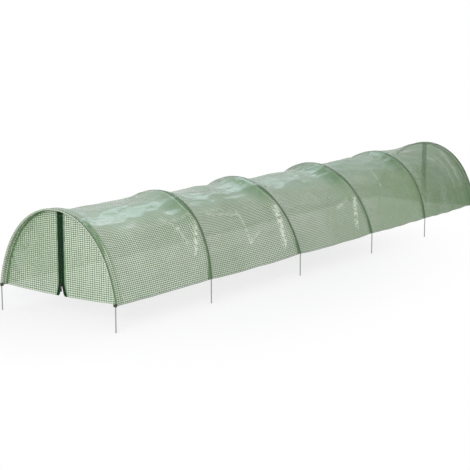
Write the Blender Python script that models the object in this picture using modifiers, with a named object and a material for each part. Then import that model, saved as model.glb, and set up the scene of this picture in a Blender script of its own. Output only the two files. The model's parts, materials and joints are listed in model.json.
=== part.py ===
"""Row cover tunnel: six wire hoops, a pocketed film cover and a zipped door at each end.

+X runs along the tunnel from the front door to the rear door, +Y to its left side, +Z up.
The origin is the middle of the tunnel's base, level with the tips of the hoops' legs.
The photographed setting of the hoops is kept: the middle ones lean a little and stand a
little off their even spacing.
"""
import math

import bmesh
import bpy
from mathutils import Vector

MM = 0.001

# Driving dimensions
HOOP_COUNT = 6
HOOP_SPACING = 600 * MM
TUNNEL_WIDTH = 600 * MM
TUNNEL_HEIGHT = 330 * MM
LEG_LENGTH = 100 * MM
FOOT_FLARE = math.radians(9)
# The arch is a cubic curve: the reach of its two handles, as shares of the height and half width
FOOT_HANDLE_SHARE = 0.78
CROWN_HANDLE_SHARE = 0.36

# Wire
WIRE_DIAMETER = 4.5 * MM
WIRE_SEGMENTS = 36
WIRE_BEVEL_RESOLUTION = 2

# Film
FILM_THICKNESS = 1.0 * MM
SEAM_GAP = 0.3 * MM
POCKET_CLEARANCE = 1.3 * MM
POCKET_FRONT = 26 * MM
POCKET_BACK = 12 * MM
POCKET_FOLD = 8.5 * MM
END_HEM = 38 * MM
ARCH_SEGMENTS = 22
BAY_SHARES = (0.06, 0.2, 0.5, 0.8, 0.94)

# Setting of the hoops: foot offsets and leans, front to rear, and the film's sag in each bay
FOOT_OFFSET_SHARES = (0, -0.04, 0.05, 0.11, 0.03, 0)
LEANS = [math.radians(angle) for angle in (0, 6, -13, -13, -1, 0)]
BAY_SAG_SHARES = (0.055, 0.08, 0.08, 0.06, 0.035)
SAG_FLATNESS = 5
HEM_DROOP_SHARES = (0.004, 0.014, 0.014, 0.008, 0.004)

# Door
DOOR_SETBACK = 30 * MM
DOOR_HEM_BOW = 8 * MM
FOLD_TOP_OFFSET = 3 * MM
FOLD_FOOT_INSET = 18 * MM
FOLD_GAP = 0.3 * MM
HEM_POINTS = 6

# Zip
ZIP_END_LENGTH = 30 * MM
TAPE_WIDTH = 14 * MM
TAPE_THICKNESS = 0.8 * MM
FILM_TO_ZIP_CENTRE = 8 * MM
BEAD_INNER = 1.6 * MM
BEAD_WIDTH = 1.2 * MM
TOOTH_REACH = 0.8 * MM
TOOTH_PITCH = 5 * MM
TOOTH_ROOT = 2.0 * MM
TOOTH_TIP = 1.4 * MM
TEETH_THICKNESS = 2.4 * MM
END_STOP_LENGTH = 4 * MM
V_HEIGHT = 43 * MM
V_HALF_WIDTH = 10 * MM
V_CURVE_POWER = 1.15
V_STEPS = 6

# Slider and pull
SLIDER_LENGTH = 14 * MM
SLIDER_BASE = 30 * MM
SLIDER_PLATE = 1.1 * MM
SLIDER_WALL = 0.9 * MM
SLIDER_CLEARANCE = 0.3 * MM
TAPE_SLOT_CLEARANCE = 0.4 * MM
SLIDER_CORNER = 2 * MM
SLIDER_SHOULDER_SHARE = 1 / 3
BAIL_WIRE = 1.3 * MM
BAIL_FOOT = 3 * MM
BAIL_LENGTH = 8 * MM
BAIL_RISE = 3 * MM
BAIL_BEVEL_RESOLUTION = 1
PULL_THICKNESS = 1.3 * MM
PULL_GAP = 0.35 * MM
PULL_BAR = 1.5 * MM
PULL_LENGTH = 26 * MM
PULL_EYE_LENGTH = 9 * MM
PULL_EYE_WIDTH = 3 * MM
PULL_TOP_WIDTH = 6.2 * MM
PULL_TIP_WIDTH = 8 * MM
PULL_CORNER = 1.25 * MM
BAR_TO_BAIL_FOOT = 2.8 * MM

# Modelling allowances
CUT_OVERRUN = 1 * MM
ARC_STEPS = 200
CORNER_STEPS = 3
WELD = 0.001 * MM

# Lengths that follow from the ones above
FIRST_HOOP_X = -HOOP_SPACING * (HOOP_COUNT - 1) / 2
WIRE_RADIUS = WIRE_DIAMETER / 2
FILM_OFFSET = WIRE_RADIUS + POCKET_CLEARANCE + FILM_THICKNESS / 2
POCKET_FLAT_DEPTH = FILM_THICKNESS + SEAM_GAP
POCKET_FULL_DEPTH = 2 * FILM_OFFSET
DOOR_EDGE_DEPTH = POCKET_FLAT_DEPTH + FILM_THICKNESS / 2 + SEAM_GAP
TAPE_OUT = FILM_THICKNESS / 2 + SEAM_GAP + TAPE_THICKNESS / 2
BEAD_OUTER = BEAD_INNER + BEAD_WIDTH
TAPE_INNER = BEAD_OUTER + SEAM_GAP
TAPE_OUTER = TAPE_INNER + TAPE_WIDTH - BEAD_OUTER
DOOR_TOP = TUNNEL_HEIGHT + FILM_OFFSET - DOOR_EDGE_DEPTH
ZIP_TOP = DOOR_TOP - ZIP_END_LENGTH
FOLD_TOP = Vector((TAPE_OUTER + FOLD_TOP_OFFSET, ZIP_TOP))
FOLD_FOOT = Vector((TUNNEL_WIDTH / 2 - FOLD_FOOT_INSET, 0))
CHANNEL_HALF = TEETH_THICKNESS / 2 + SLIDER_CLEARANCE
SLIDER_FACE = TAPE_OUT + CHANNEL_HALF + SLIDER_PLATE

LEFT, RIGHT = 1, -1
ENDS = (("front", -1), ("rear", 1))
SIDES = (("left", LEFT), ("right", RIGHT))

COLLECTION = "row_cover_tunnel"
CUTTERS = "cutters"


def clear_scene():
    for thing in list(bpy.data.objects):
        bpy.data.objects.remove(thing)
    for name in (COLLECTION, CUTTERS):
        old = bpy.data.collections.get(name)
        if old:
            bpy.data.collections.remove(old)
        bpy.context.scene.collection.children.link(bpy.data.collections.new(name))


def material(name, colour, roughness, metallic=0.0, alpha=1.0):
    made = bpy.data.materials.new(name)
    made.use_nodes = True
    shader = made.node_tree.nodes["Principled BSDF"]
    shader.inputs["Base Color"].default_value = (*colour, 1)
    shader.inputs["Roughness"].default_value = roughness
    shader.inputs["Metallic"].default_value = metallic
    shader.inputs["Alpha"].default_value = alpha
    return made


def make_materials():
    return {
        "steel": material("galvanised_steel", (0.42, 0.44, 0.44), 0.4, metallic=0.9),
        "film": material("green_film", (0.42, 0.55, 0.42), 0.35, alpha=0.85),
        "pocket": material("doubled_film", (0.24, 0.40, 0.27), 0.4, alpha=0.95),
        "tape": material("zip_tape", (0.03, 0.08, 0.05), 0.8),
        "teeth": material("zip_teeth", (0.02, 0.03, 0.025), 0.5),
        "slider": material("slider_metal", (0.06, 0.06, 0.06), 0.35, metallic=0.8),
    }


def link(thing, collection=COLLECTION):
    bpy.data.collections[collection].objects.link(thing)
    return thing


def finish(thing, look):
    thing.data.materials.append(look)
    return thing


def arch_curve(t):
    """Point and outward normal of the half arch: t is 0 at the foot, 1 at the crown."""
    half = TUNNEL_WIDTH / 2
    foot = Vector((half, 0))
    crown = Vector((0, TUNNEL_HEIGHT))
    rise = Vector((-math.sin(FOOT_FLARE), math.cos(FOOT_FLARE)))
    foot_handle = foot + rise * TUNNEL_HEIGHT * FOOT_HANDLE_SHARE
    crown_handle = crown + Vector((half * CROWN_HANDLE_SHARE, 0))
    u = 1 - t
    point = u**3 * foot + 3 * u * u * t * foot_handle + 3 * u * t * t * crown_handle + t**3 * crown
    along = u * u * (foot_handle - foot) + t * t * (crown - crown_handle)
    along += 2 * u * t * (crown_handle - foot_handle)
    along.normalize()
    return point, Vector((along.y, -along.x))


def arch_stations(segments):
    """Stations from the right foot (-1) over the crown (0) to the left foot (+1).

    Each step covers an equal part of the arch's length and turning together, so that the
    tight shoulders get shorter segments.
    """
    travel = [0.0]
    point, normal = arch_curve(0)
    for step in range(1, ARC_STEPS + 1):
        next_point, next_normal = arch_curve(step / ARC_STEPS)
        moved = (next_point - point).length / TUNNEL_WIDTH
        turned = next_normal.angle(normal) / math.pi
        travel.append(travel[-1] + moved + turned)
        point, normal = next_point, next_normal
    half_stations = []
    for i in range(segments // 2 + 1):
        wanted = travel[-1] * i / (segments // 2)
        step = max(k for k in range(ARC_STEPS + 1) if travel[k] <= wanted + WELD)
        if step < ARC_STEPS:
            part = (wanted - travel[step]) / (travel[step + 1] - travel[step])
        else:
            part = 0
        half_stations.append((step + part) / ARC_STEPS)
    right = [t - 1 for t in half_stations]
    left = [-station for station in reversed(right[:-1])]
    return right + left


def arch_point(station, depth=0.0):
    """(y, z above the hem) on the arch, depth inwards of the film's middle surface."""
    point, normal = arch_curve(1 - abs(station))
    side = 1 if station > 0 else -1
    point = point + normal * (FILM_OFFSET - depth)
    return Vector((side * point.x, point.y))


def hoop_x(hoop, z):
    """Where a hoop stands along the tunnel, z above the hem."""
    base = FIRST_HOOP_X + HOOP_SPACING * (hoop + FOOT_OFFSET_SHARES[hoop])
    return base + max(z, 0) * math.tan(LEANS[hoop])


def sleeve_reach(hoop):
    """How far the sewn pocket of a hoop reaches to the front and to the rear of its wire."""
    lip = WIRE_RADIUS + POCKET_CLEARANCE + FILM_THICKNESS
    if hoop == 0:
        return lip, END_HEM
    if hoop == HOOP_COUNT - 1:
        return END_HEM, lip
    return POCKET_FRONT, POCKET_BACK


def film_columns():
    """Columns of the cover: both edges of each pocket, and the shares of each bay between."""
    columns = []
    for hoop in range(HOOP_COUNT):
        front, back = sleeve_reach(hoop)
        columns += [(hoop, -front, None), (hoop, back, None)]
        if hoop < HOOP_COUNT - 1:
            columns += [(hoop, 0, share) for share in BAY_SHARES]
    return columns


def film_point(column, station, depth=0.0):
    """A point of the film, or of a layer at a depth under it."""
    hoop, offset, share = column
    flat = arch_point(station, depth)
    if share is None:
        return Vector((hoop_x(hoop, flat.y) + offset, flat.x, LEG_LENGTH + flat.y))
    start = hoop_x(hoop, flat.y) + sleeve_reach(hoop)[1]
    end = hoop_x(hoop + 1, flat.y) - sleeve_reach(hoop + 1)[0]
    hang = 1 - abs(2 * share - 1) ** SAG_FLATNESS
    inward = math.cos(abs(station) * math.pi / 2)
    sag = TUNNEL_HEIGHT * BAY_SAG_SHARES[hoop] * hang * inward
    droop = TUNNEL_HEIGHT * HEM_DROOP_SHARES[hoop] * hang * (1 - inward)
    sunk = arch_point(station, depth + sag)
    return Vector((start + (end - start) * share, sunk.x, LEG_LENGTH + sunk.y - droop))


def sheet(name, columns, stations, place, look):
    """A film sheet: a grid laid by place(column, station) and given its thickness."""
    shell = bmesh.new()
    across, along = len(columns) - 1, len(stations) - 1
    bmesh.ops.create_grid(shell, x_segments=across, y_segments=along, size=1)
    for vert in shell.verts:
        column = columns[round((vert.co.x + 1) / 2 * across)]
        station = stations[round((vert.co.y + 1) / 2 * along)]
        vert.co = place(column, station)
    mesh = bpy.data.meshes.new(name)
    shell.to_mesh(mesh)
    shell.free()
    mesh.shade_smooth()
    thing = link(bpy.data.objects.new(name, mesh))
    wall = thing.modifiers.new("film", "SOLIDIFY")
    wall.thickness = FILM_THICKNESS
    wall.offset = 0
    wall.use_even_offset = True
    return finish(thing, look)


def make_cover(looks):
    sheet("cover_sheet", film_columns(), arch_stations(ARCH_SEGMENTS), film_point, looks["film"])


def middle_pocket_profile():
    """(offset along X, depth) of a strip that passes under the wire, front to rear."""
    return [
        (-POCKET_FRONT, POCKET_FLAT_DEPTH),
        (-POCKET_FOLD, POCKET_FLAT_DEPTH),
        (-WIRE_RADIUS, POCKET_FULL_DEPTH),
        (WIRE_RADIUS, POCKET_FULL_DEPTH),
        (POCKET_FOLD, POCKET_FLAT_DEPTH),
        (POCKET_BACK, POCKET_FLAT_DEPTH),
    ]


def end_hem_profile(inward):
    """(offset along X, depth) of an end hem: from the cover's edge round the wire and back."""
    lip = WIRE_RADIUS + POCKET_CLEARANCE + FILM_THICKNESS / 2
    outline = [
        (-lip, FILM_THICKNESS / 2 + SEAM_GAP),
        (-lip, FILM_OFFSET + WIRE_RADIUS / 2),
        (-WIRE_RADIUS / 2, POCKET_FULL_DEPTH),
        (WIRE_RADIUS, POCKET_FULL_DEPTH),
        (POCKET_FOLD, POCKET_FLAT_DEPTH),
        (END_HEM, POCKET_FLAT_DEPTH),
    ]
    return [(inward * offset, depth) for offset, depth in outline]


def make_pockets(looks):
    stations = arch_stations(ARCH_SEGMENTS)
    for hoop in range(HOOP_COUNT):
        if hoop == 0:
            profile = end_hem_profile(1)
        elif hoop == HOOP_COUNT - 1:
            profile = end_hem_profile(-1)
        else:
            profile = middle_pocket_profile()

        def place(column, station, hoop=hoop):
            offset, depth = column
            return film_point((hoop, offset, None), station, depth)

        sheet(f"pocket_{hoop + 1}", profile, stations, place, looks["pocket"])


def make_hoops(looks):
    for hoop in range(HOOP_COUNT):
        line = []
        for station in arch_stations(WIRE_SEGMENTS):
            flat = arch_point(station, FILM_OFFSET)
            line.append(Vector((hoop_x(hoop, flat.y), flat.x, LEG_LENGTH + flat.y)))
        right_tip = Vector((line[0].x, line[0].y, 0))
        left_tip = Vector((line[-1].x, line[-1].y, 0))
        line = [right_tip] + line + [left_tip]
        curve = bpy.data.curves.new(f"hoop_{hoop + 1}", "CURVE")
        curve.dimensions = "3D"
        curve.bevel_depth = WIRE_RADIUS
        curve.bevel_resolution = WIRE_BEVEL_RESOLUTION
        curve.use_fill_caps = True
        spline = curve.splines.new("POLY")
        spline.points.add(len(line) - 1)
        for point, spot in zip(spline.points, line):
            point.co = (*spot, 1)
        finish(link(bpy.data.objects.new(f"hoop_{hoop + 1}", curve)), looks["steel"])


def plate(name, outlines, thickness, collection=COLLECTION):
    """A flat piece in the YZ plane: closed outlines of (y, z), given half its thickness each way."""
    curve = bpy.data.curves.new(name, "CURVE")
    curve.dimensions = "2D"
    curve.fill_mode = "BOTH"
    curve.extrude = thickness / 2
    for outline in outlines:
        spline = curve.splines.new("POLY")
        spline.points.add(len(outline) - 1)
        spline.use_cyclic_u = True
        for point, spot in zip(spline.points, outline):
            point.co = (spot[0], spot[1], 0, 1)
    thing = link(bpy.data.objects.new(name, curve), collection)
    # The outline's own x runs along +Y and its own y along +Z
    thing.rotation_euler = (math.pi / 2, 0, math.pi / 2)
    return thing


def comb(name, outline):
    """A toothed strip in the YZ plane: one many-cornered face laid on its outline, and Solidify."""
    face = bmesh.new()
    bmesh.ops.create_circle(face, cap_ends=True, segments=len(outline), radius=1)
    for vert, (y, z) in zip(face.verts, outline):
        vert.co = (0, y, z)
    mesh = bpy.data.meshes.new(name)
    face.to_mesh(mesh)
    face.free()
    thing = link(bpy.data.objects.new(name, mesh))
    wall = thing.modifiers.new("teeth", "SOLIDIFY")
    wall.thickness = TEETH_THICKNESS
    wall.offset = 0
    return thing


def as_mesh(thing):
    """The curve object made a mesh object, its caps welded."""
    bpy.context.view_layer.update()
    ready = thing.evaluated_get(bpy.context.evaluated_depsgraph_get())
    mesh = bpy.data.meshes.new_from_object(ready)
    shape = bmesh.new()
    shape.from_mesh(mesh)
    bmesh.ops.remove_doubles(shape, verts=shape.verts, dist=WELD)
    shape.to_mesh(mesh)
    shape.free()
    name, place, home = thing.name, thing.matrix_world.copy(), thing.users_collection[0]
    bpy.data.objects.remove(thing)
    made = bpy.data.objects.new(name, mesh)
    home.objects.link(made)
    made.matrix_world = place
    return made


def boolean(thing, tool, operation):
    tool.hide_render = True
    tool.display_type = "WIRE"
    cut = thing.modifiers.new(tool.name, "BOOLEAN")
    cut.operation = operation
    cut.object = tool
    cut.solver = "EXACT"


def place_out(thing, end, out):
    """Sets a door piece's middle plane out from the middle of the door film, towards outside."""
    thing.location = (door_x(end) + end * out, 0, LEG_LENGTH)


def door_x(end):
    """The door film's middle plane at the front (-1) or the rear (+1) end."""
    return end * (-FIRST_HOOP_X - DOOR_SETBACK)


def zip_spread(z):
    """How far one side of the zip lies from the centre line, z above the hem."""
    below = max(V_HEIGHT - z, 0) / V_HEIGHT
    return V_HALF_WIDTH * below**V_CURVE_POWER


def zip_line(low, high):
    """Heights along the zip from low to high, close together where the two sides part."""
    heights = [low]
    if low < V_HEIGHT:
        heights += [low + (V_HEIGHT - low) * i / V_STEPS for i in range(1, V_STEPS + 1)]
    return [z for z in heights if z < high] + [high]


def door_top_z(y):
    """Height of the door's upper edge near the crown, on the straight run between two stations."""
    beside = min(abs(s) for s in arch_stations(ARCH_SEGMENTS) if s != 0)
    crown, shoulder = arch_point(0, DOOR_EDGE_DEPTH), arch_point(beside, DOOR_EDGE_DEPTH)
    return crown.y + (shoulder.y - crown.y) * abs(y) / shoulder.x


def door_hem_z(y):
    """Height of the door's hem, which bows down between the feet."""
    half = TUNNEL_WIDTH / 2
    return -DOOR_HEM_BOW * max(1 - (y / half) ** 2, 0)


def mirrored(side, outline):
    return [(side * y, z) for y, z in outline]


def beside_fold(z, gap):
    """(y, z) at a height, gap outwards of the fold line."""
    run = FOLD_TOP - FOLD_FOOT
    return FOLD_FOOT.x + run.x * z / run.y + gap * run.length / run.y, z


def side_outline(side):
    """The part of a door half that stays in the arch."""
    stations = [s for s in arch_stations(ARCH_SEGMENTS) if s > 0]
    arch = [tuple(arch_point(s, DOOR_EDGE_DEPTH)) for s in reversed(stations)]
    low = ZIP_TOP + 2 * FOLD_GAP
    outline = [beside_fold(0, FOLD_GAP)] + [spot for spot in arch if spot[0] > FILM_TO_ZIP_CENTRE]
    outline += [
        (FILM_TO_ZIP_CENTRE, door_top_z(FILM_TO_ZIP_CENTRE)),
        (FILM_TO_ZIP_CENTRE, low),
        beside_fold(low, FOLD_GAP),
    ]
    return mirrored(side, outline)


def flap_outline(side):
    """The triangle of film that folds out: zip side, hem and fold line."""
    top, foot = beside_fold(ZIP_TOP, -FOLD_GAP), beside_fold(0, -FOLD_GAP)
    heights = reversed(zip_line(0, ZIP_TOP)[1:])
    inner = [(FILM_TO_ZIP_CENTRE + zip_spread(z), z) for z in heights]
    corner = FILM_TO_ZIP_CENTRE + zip_spread(0)
    hem = []
    for i in range(HEM_POINTS):
        y = corner + (foot[0] - corner) * i / HEM_POINTS
        hem.append((y, door_hem_z(y)))
    return mirrored(side, inner + hem + [foot, top])


def tape_outline(side):
    """A zip tape beside its teeth, as far as the door's hem."""
    low = -DOOR_HEM_BOW
    inner = [(TAPE_INNER + zip_spread(z), z) for z in zip_line(low, ZIP_TOP)]
    outer = [(TAPE_OUTER + zip_spread(z), z) for z in reversed(zip_line(low, ZIP_TOP))]
    return mirrored(side, inner + outer)


def path_frame(z):
    """A point of the right-angled frame that follows one side of the zip, and its directions."""
    step = TOOTH_PITCH / 2
    along = Vector((zip_spread(z + step) - zip_spread(z - step), 2 * step)).normalized()
    return Vector((zip_spread(z), z)), along, Vector((along.y, -along.x))


def teeth_outline(side, low, high, phase):
    """A comb: the bead along the tape's edge with a tooth at each pitch, reaching past the middle."""
    def spot(z, out, shift=0.0):
        base, along, across = path_frame(z)
        return tuple(base + across * out + along * shift)

    outline = [spot(low, BEAD_INNER)]
    z = low + TOOTH_PITCH * phase
    while z < high - TOOTH_ROOT:
        outline += [
            spot(z, BEAD_INNER, -TOOTH_ROOT / 2),
            spot(z, -TOOTH_REACH, -TOOTH_TIP / 2),
            spot(z, -TOOTH_REACH, TOOTH_TIP / 2),
            spot(z, BEAD_INNER, TOOTH_ROOT / 2),
        ]
        z += TOOTH_PITCH
    outline += [spot(high, BEAD_INNER), spot(high, BEAD_OUTER)]
    outline += [spot(z, BEAD_OUTER) for z in reversed(zip_line(low, high)[:-1])]
    return mirrored(side, outline)


def make_door_side(end_name, end, side_name, side, looks):
    thing = plate(f"{end_name}_{side_name}_side", [side_outline(side)], FILM_THICKNESS)
    place_out(thing, end, 0)
    finish(thing, looks["film"])


def fold_empty(end_name, end, side_name, side):
    """The fold line of a flap: an empty on the film's outer face, its Z along the line."""
    empty = link(bpy.data.objects.new(f"{end_name}_{side_name}_fold", None))
    foot = Vector((0, side * FOLD_FOOT.x, FOLD_FOOT.y))
    top = Vector((0, side * FOLD_TOP.x, FOLD_TOP.y))
    empty.rotation_mode = "QUATERNION"
    empty.rotation_quaternion = (top - foot).to_track_quat("Z", "X")
    face = door_x(end) + end * FILM_THICKNESS / 2
    empty.location = foot + Vector((face, 0, LEG_LENGTH))
    return empty


def carry(carrier, pieces):
    bpy.context.view_layer.update()
    for piece in pieces:
        piece.parent = carrier
        piece.matrix_parent_inverse = carrier.matrix_world.inverted()


def make_flap(end_name, end, side_name, side, looks):
    stem = f"{end_name}_{side_name}"
    film = plate(f"{stem}_flap", [flap_outline(side)], FILM_THICKNESS)
    place_out(film, end, 0)
    finish(film, looks["film"])
    tape = plate(f"{stem}_tape", [tape_outline(side)], TAPE_THICKNESS)
    place_out(tape, end, TAPE_OUT)
    finish(tape, looks["tape"])
    phase = 0.5 if side == LEFT else 1
    low = -DOOR_HEM_BOW / 2
    teeth = comb(f"{stem}_teeth", teeth_outline(side, low, ZIP_TOP, phase))
    place_out(teeth, end, TAPE_OUT)
    finish(teeth, looks["teeth"])
    carry(fold_empty(end_name, end, side_name, side), [film, tape, teeth])


def make_zip_end(end_name, end, looks):
    """The short closed end of the zip, sewn into the crown: tapes with the teeth's rib on them."""
    low, high = ZIP_TOP + 2 * FOLD_GAP, door_top_z(TAPE_OUTER)
    tapes = plate(f"{end_name}_zip_end", [box_outline(TAPE_OUTER, low, high)], TAPE_THICKNESS)
    place_out(tapes, end, TAPE_OUT)
    tapes = as_mesh(tapes)
    rib_outline = box_outline(BEAD_OUTER, low, high - END_STOP_LENGTH)
    rib = plate(f"{end_name}_zip_end_rib", [rib_outline], TEETH_THICKNESS, CUTTERS)
    place_out(rib, end, TAPE_OUT)
    boolean(tapes, as_mesh(rib), "UNION")
    finish(tapes, looks["tape"])


def box_outline(half_width, low, high):
    return [(-half_width, low), (half_width, low), (half_width, high), (-half_width, high)]


def rounded(outline, radius):
    """The closed outline with each corner replaced by a short arc-like run of points."""
    out = []
    count = len(outline)
    for i, spot in enumerate(outline):
        corner = Vector(spot)
        before = Vector(outline[i - 1]) - corner
        after = Vector(outline[(i + 1) % count]) - corner
        start = corner + before.normalized() * radius
        end = corner + after.normalized() * radius
        for step in range(CORNER_STEPS + 1):
            t = step / CORNER_STEPS
            out.append(tuple((1 - t) ** 2 * start + 2 * t * (1 - t) * corner + t * t * end))
    return out


def channel_outline(side, inner, outer):
    """A band beside the zip's path, past both ends of the slider."""
    low, high = SLIDER_BASE - CUT_OVERRUN, SLIDER_BASE + SLIDER_LENGTH + CUT_OVERRUN
    heights = zip_line(low, high)
    near = [(zip_spread(z) + inner, z) for z in heights]
    far = [(zip_spread(z) + outer, z) for z in reversed(heights)]
    return mirrored(side, near + far)


def make_slider(end_name, end, looks):
    """Two shield plates joined by the wedge at the wide end and by side walls slotted for tape."""
    base, top = SLIDER_BASE, SLIDER_BASE + SLIDER_LENGTH
    shoulder = base + SLIDER_LENGTH * SLIDER_SHOULDER_SHARE
    narrow = BEAD_OUTER + SLIDER_CLEARANCE + SLIDER_WALL
    wide = narrow + zip_spread(base)
    shield = [
        (-wide, base),
        (wide, base),
        (wide, shoulder),
        (narrow, top),
        (-narrow, top),
        (-wide, shoulder),
    ]
    depth = 2 * (CHANNEL_HALF + SLIDER_PLATE)
    block = plate(f"{end_name}_slider", [rounded(shield, SLIDER_CORNER)], depth)
    place_out(block, end, TAPE_OUT)
    block = as_mesh(block)
    inner = -TOOTH_REACH - SLIDER_CLEARANCE
    outer = BEAD_OUTER + SLIDER_CLEARANCE
    slot = TAPE_THICKNESS + 2 * TAPE_SLOT_CLEARANCE
    for side_name, side in SIDES:
        stem = f"{end_name}_{side_name}"
        track = channel_outline(side, inner, outer)
        channel = plate(f"{stem}_teeth_channel", [track], 2 * CHANNEL_HALF, CUTTERS)
        place_out(channel, end, TAPE_OUT)
        boolean(block, as_mesh(channel), "DIFFERENCE")
        reach = channel_outline(side, BEAD_INNER, TAPE_OUTER)
        groove = plate(f"{stem}_tape_slot", [reach], slot, CUTTERS)
        place_out(groove, end, TAPE_OUT)
        boolean(block, as_mesh(groove), "DIFFERENCE")
    boolean(block, make_bail(end_name, end), "UNION")
    finish(block, looks["slider"])
    return block


def make_bail(end_name, end):
    """The wire loop on the slider's outer plate, which the pull hangs on."""
    low = SLIDER_BASE + BAIL_FOOT
    high = low + BAIL_LENGTH
    sunk, risen = SLIDER_FACE - SLIDER_PLATE / 2, SLIDER_FACE + BAIL_RISE
    bend = BAIL_RISE / 2
    profile = [
        (sunk, low),
        (SLIDER_FACE + bend, low),
        (risen, low + bend),
        (risen, high - bend),
        (SLIDER_FACE + bend, high),
        (sunk, high),
    ]
    curve = bpy.data.curves.new(f"{end_name}_bail", "CURVE")
    curve.dimensions = "3D"
    curve.bevel_depth = BAIL_WIRE / 2
    curve.bevel_resolution = BAIL_BEVEL_RESOLUTION
    curve.use_fill_caps = True
    spline = curve.splines.new("POLY")
    spline.points.add(len(profile) - 1)
    for point, (out, z) in zip(spline.points, profile):
        point.co = (door_x(end) + end * out, 0, LEG_LENGTH + z, 1)
    return as_mesh(link(bpy.data.objects.new(f"{end_name}_bail", curve), CUTTERS))


def make_pull(end_name, end, looks):
    """The pull: a long tab with an eye, whose top bar passes under the bail."""
    pivot = SLIDER_BASE + BAIL_FOOT + BAR_TO_BAIL_FOOT
    out = SLIDER_FACE + PULL_GAP + PULL_THICKNESS / 2
    top = PULL_BAR / 2
    outer = [
        (-PULL_TOP_WIDTH / 2, top),
        (-PULL_TIP_WIDTH / 2, -PULL_LENGTH),
        (PULL_TIP_WIDTH / 2, -PULL_LENGTH),
        (PULL_TOP_WIDTH / 2, top),
    ]
    eye = box_outline(PULL_EYE_WIDTH / 2, -PULL_BAR / 2 - PULL_EYE_LENGTH, -PULL_BAR / 2)
    pull = plate(f"{end_name}_pull", [rounded(outer, PULL_CORNER), eye], PULL_THICKNESS)
    hinge = link(bpy.data.objects.new(f"{end_name}_pull_hinge", None))
    hinge.location = (door_x(end) + end * out, 0, LEG_LENGTH + pivot)
    pull.location = hinge.location
    finish(pull, looks["slider"])
    carry(hinge, [pull])
    return hinge


def make_door(end_name, end, looks):
    for side_name, side in SIDES:
        make_door_side(end_name, end, side_name, side, looks)
        make_flap(end_name, end, side_name, side, looks)
    make_zip_end(end_name, end, looks)
    slider = make_slider(end_name, end, looks)
    carry(slider, [make_pull(end_name, end, looks)])


def main():
    clear_scene()
    looks = make_materials()
    make_hoops(looks)
    make_cover(looks)
    make_pockets(looks)
    for end_name, end in ENDS:
        make_door(end_name, end, looks)
    bpy.context.view_layer.update()


main()
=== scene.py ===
"""Looks of a row cover tunnel: reinforced film over wire hoops, sewn pockets and two zipped doors.

+X runs from the front door to the rear door, +Y to the tunnel's left side, +Z up, in metres.
Sizes that the frame knows are read from it; the rest are the settings in the panel.
"""
import bisect
import functools
import json
import math

import bmesh
import bpy
from bpy.props import FloatProperty, FloatVectorProperty, IntProperty, PointerProperty
from mathutils import Matrix, Vector, noise


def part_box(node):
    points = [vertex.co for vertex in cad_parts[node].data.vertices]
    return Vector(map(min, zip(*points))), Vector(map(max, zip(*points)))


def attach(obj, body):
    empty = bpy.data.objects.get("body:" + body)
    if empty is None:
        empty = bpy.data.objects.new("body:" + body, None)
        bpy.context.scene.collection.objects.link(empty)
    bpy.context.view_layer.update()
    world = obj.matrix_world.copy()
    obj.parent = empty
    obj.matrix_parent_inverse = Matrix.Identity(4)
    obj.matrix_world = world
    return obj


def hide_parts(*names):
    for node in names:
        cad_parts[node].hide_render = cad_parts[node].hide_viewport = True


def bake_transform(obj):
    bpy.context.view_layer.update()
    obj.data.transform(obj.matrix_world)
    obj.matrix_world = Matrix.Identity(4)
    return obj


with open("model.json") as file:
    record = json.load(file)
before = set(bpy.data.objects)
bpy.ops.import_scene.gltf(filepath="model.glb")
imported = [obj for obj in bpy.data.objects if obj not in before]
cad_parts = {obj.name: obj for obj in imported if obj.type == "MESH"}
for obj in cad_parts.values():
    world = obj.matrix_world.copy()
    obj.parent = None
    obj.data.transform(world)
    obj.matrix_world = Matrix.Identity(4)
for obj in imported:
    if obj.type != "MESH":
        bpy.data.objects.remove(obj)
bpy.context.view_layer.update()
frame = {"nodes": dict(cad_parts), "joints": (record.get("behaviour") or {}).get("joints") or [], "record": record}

bl_info = {
    "name": "Row cover tunnel",
    "version": (1, 0, 0),
    "blender": (4, 5, 0),
    "location": "View3D > Sidebar > Tunnel",
    "description": "Makes the film, wires, pockets, doors and stage of a row cover tunnel",
    "category": "Object",
}

MM = 0.001

# Places read from the frame
MOUNTS = {mount["name"]: Vector(mount["pos_m"]) for mount in frame["record"]["mounts"]}
JOINTS = {joint["name"]: joint for joint in frame["joints"]}
HOOP_COUNT = sum(1 for node in frame["nodes"] if node.startswith("hoop_"))
FEET_X = [MOUNTS[f"leg_tip_{hoop + 1}_left"].x for hoop in range(HOOP_COUNT)]
HOOP_SPACING = (FEET_X[-1] - FEET_X[0]) / (HOOP_COUNT - 1)
HALF_WIDTH = MOUNTS["leg_tip_1_left"].y
HEM_Z = JOINTS["front_left_fold"]["pos_m"][2]
DOOR_PLANE = abs(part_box("front_left_side")[0].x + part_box("front_left_side")[1].x) / 2
ZIP_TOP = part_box("front_left_tape")[1].z - HEM_Z
TAPE_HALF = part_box("front_left_tape")[1].y
TAPE_FACE = abs(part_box("front_left_tape")[0].x)

# Wire
WIRE_RADIUS = 2.25 * MM
ARCH_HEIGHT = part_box("hoop_1")[1].z - HEM_Z - WIRE_RADIUS
FOOT_FLARE = math.radians(9)
FOOT_HANDLE_SHARE = 0.78
CROWN_HANDLE_SHARE = 0.36
ARC_SAMPLES = 400
LEG_TOP_SHARE = 0.93
WIRE_SHARP_ANGLE = math.radians(50)

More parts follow.
